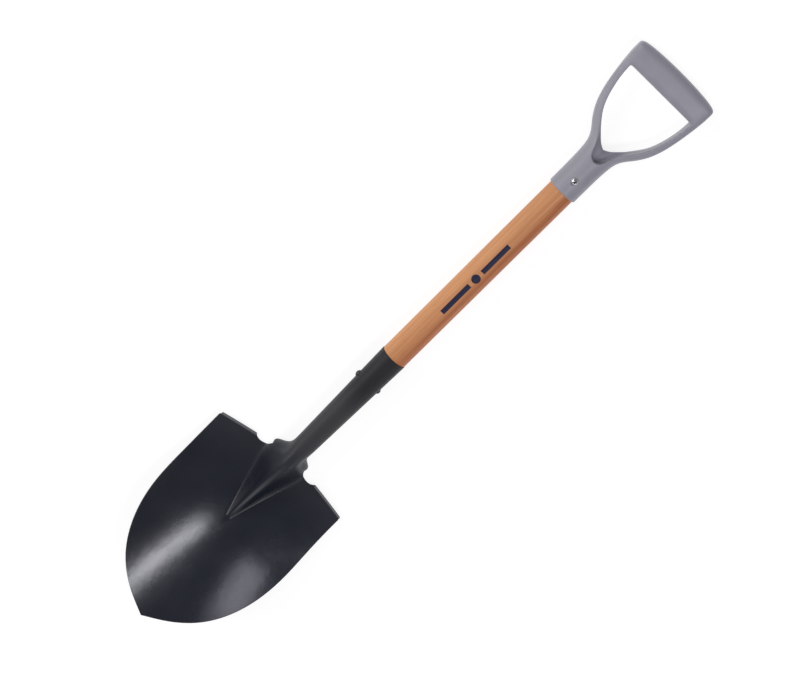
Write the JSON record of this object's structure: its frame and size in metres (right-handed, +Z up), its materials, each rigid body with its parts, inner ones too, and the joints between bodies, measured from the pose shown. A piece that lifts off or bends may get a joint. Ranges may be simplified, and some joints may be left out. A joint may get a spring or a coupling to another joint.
{
  "type": "round point shovel",
  "caption": "Round point digging shovel with a pressed steel blade and socket, a straight wooden shaft and a moulded D-grip.",
  "frame": {"origin": "bottom centre of the shovel's box as it lies on its back on a flat surface", "axes": "+X along the shaft from the blade's point to the D-grip, +Y to the left of the blade seen from its front, +Z up, out of the hollow front face of the blade"},
  "size_m": [1.0246, 0.225, 0.0859],
  "materials": {
    "dark_painted_steel": "semi-gloss dark charcoal paint",
    "lacquered_wood": "clear lacquered hardwood, warm orange-tan",
    "rivet_steel": "same dark paint as the socket",
    "grey_plastic": "satin moulded mid grey",
    "bright_screw": "bright zinc plated"
  },
  "bodies": {
    "root": {"blade": "dark_painted_steel", "shaft": "lacquered_wood", "socket_rivet": "rivet_steel", "grip": "grey_plastic", "grip_screw": "bright_screw"}
  },
  "joints": []
}
